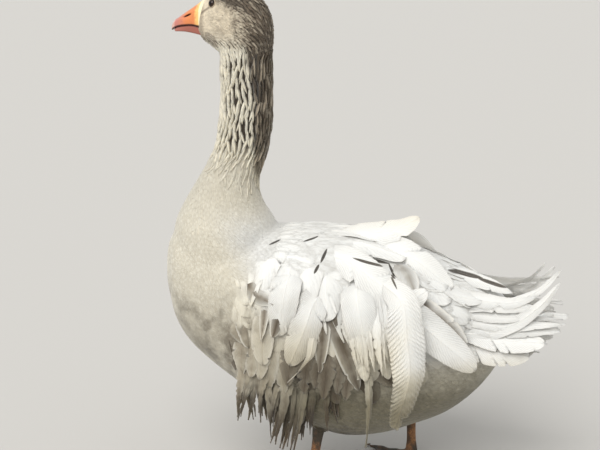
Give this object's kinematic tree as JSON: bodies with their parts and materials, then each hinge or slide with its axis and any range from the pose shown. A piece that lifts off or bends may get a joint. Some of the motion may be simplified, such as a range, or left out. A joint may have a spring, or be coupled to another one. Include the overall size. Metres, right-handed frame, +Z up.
{
  "type": "domestic goose, still life-size model",
  "caption": "Still life-size model of a standing domestic goose with loose curled plumes, an upright furrowed neck and an orange bill.",
  "frame": {"origin": "on the floor, under the middle of the goose's bounding box", "axes": "+Z up, the goose faces -Y, its left side is +X"},
  "size_m": [0.3143, 0.603, 0.7365],
  "materials": {
    "coat_cream": "soft cream breast and belly feathers, shaded grey-brown low on the flank",
    "coat_grey": "grey-brown feathers of crown and nape over cream, in deep furrows down the neck",
    "plumes_white": "long white loose plumes with pale shafts",
    "bill": "orange bill, pink at the tip and yellower at the root, softly glossy",
    "leg_skin": "orange-brown scaly skin, muddy",
    "claw": "dark worn horn",
    "eye": "wet dark brown eye"
  },
  "bodies": {
    "root": {"bill_lower": "bill", "bill_upper": "bill", "claw_hind_left": "claw", "claw_hind_right": "claw", "claw_inner_left": "claw", "claw_inner_right": "claw", "claw_middle_left": "claw", "claw_middle_right": "claw", "claw_outer_left": "claw", "claw_outer_right": "claw", "eye_left": "eye", "eye_right": "eye", "foot_left": "leg_skin", "foot_right": "leg_skin", "head": "coat_grey", "leg_left": "leg_skin", "leg_right": "leg_skin", "neck_lower": "coat_cream", "neck_middle": "coat_grey", "neck_upper": "coat_grey", "tail": "plumes_white", "trunk": "coat_cream", "wing_left": "plumes_white", "wing_right": "plumes_white"}
  },
  "joints": []
}
